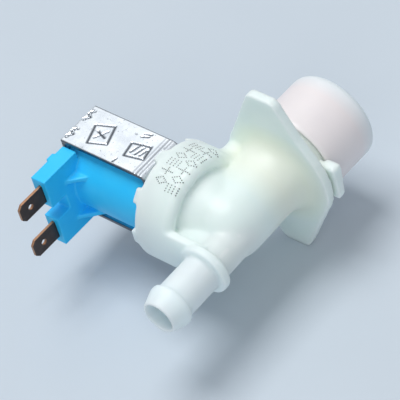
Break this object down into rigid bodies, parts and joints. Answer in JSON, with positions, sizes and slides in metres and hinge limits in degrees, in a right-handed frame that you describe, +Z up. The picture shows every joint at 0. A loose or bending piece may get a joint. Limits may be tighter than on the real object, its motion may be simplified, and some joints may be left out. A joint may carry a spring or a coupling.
{
  "type": "solenoid water inlet valve",
  "caption": "Single solenoid water inlet valve for a washing machine: white moulded body with panel flange, capped threaded inlet, barbed outlet, blue coil with blade terminals and a steel yoke.",
  "frame": {"origin": "Where the inlet axis meets the back of the panel flange, which is the face that seats on the cabinet panel.", "axes": "+Y runs out through the inlet, +X from the coil towards the front of the drum, +Z up along the upper flange wing."},
  "size_m": [0.0691, 0.0834, 0.056],
  "materials": {
    "natural_plastic": "milky translucent moulded nylon, satin",
    "cap_plastic": "thin milky polyethylene, soft satin",
    "strainer_plastic": "moulded white plastic",
    "black_rubber": "moulded black rubber",
    "bush_steel": "turned magnetic steel",
    "zinc_steel": "bright zinc-plated sheet steel with fine scratches",
    "bobbin_plastic": "moulded blue plastic",
    "copper_wire": "enamelled copper wire",
    "blue_plastic": "sky-blue moulded plastic, satin gloss",
    "terminal_bronze": "tarnished tinned bronze blade"
  },
  "bodies": {
    "valve": {"valve_body": "natural_plastic", "inlet_strainer": "strainer_plastic", "flow_regulator_washer": "black_rubber", "flow_regulator_seat": "strainer_plastic", "guide_tube": "natural_plastic", "diaphragm": "black_rubber", "return_spring": "bush_steel", "yoke_strap": "zinc_steel", "yoke_end_plate": "zinc_steel", "flux_bush_front": "bush_steel", "flux_bush_rear": "bush_steel", "coil_bobbin": "bobbin_plastic", "winding": "copper_wire", "coil_housing": "blue_plastic", "terminal_upper": "terminal_bronze", "terminal_lower": "terminal_bronze"},
    "plunger": {"plunger": "bush_steel", "plunger_seal": "black_rubber"},
    "pilot_disc": {"diaphragm_insert": "strainer_plastic"},
    "cap": {"inlet_cap": "cap_plastic"}
  },
  "joints": [
    {"name": "plunger_lift", "type": "slide", "parent": "valve", "child": "plunger", "axis": [-1, 0, 0], "range_m": [0, 0.0025], "stiffness_N_per_m": 120, "springref_m": -0.006, "deforming": ["return_spring"]},
    {"name": "pilot_lift", "type": "slide", "parent": "valve", "child": "pilot_disc", "axis": [-1, 0, 0], "range_m": [0, 0.002], "deforming": ["diaphragm"]},
    {"name": "cap_pull", "type": "slide", "parent": "valve", "child": "cap", "axis": [0, 1, 0], "range_m": [0, 0.03]}
  ],
  "couplings": [
    {"joint": "pilot_lift", "follows": "plunger_lift", "ratio": 0.8}
  ]
}
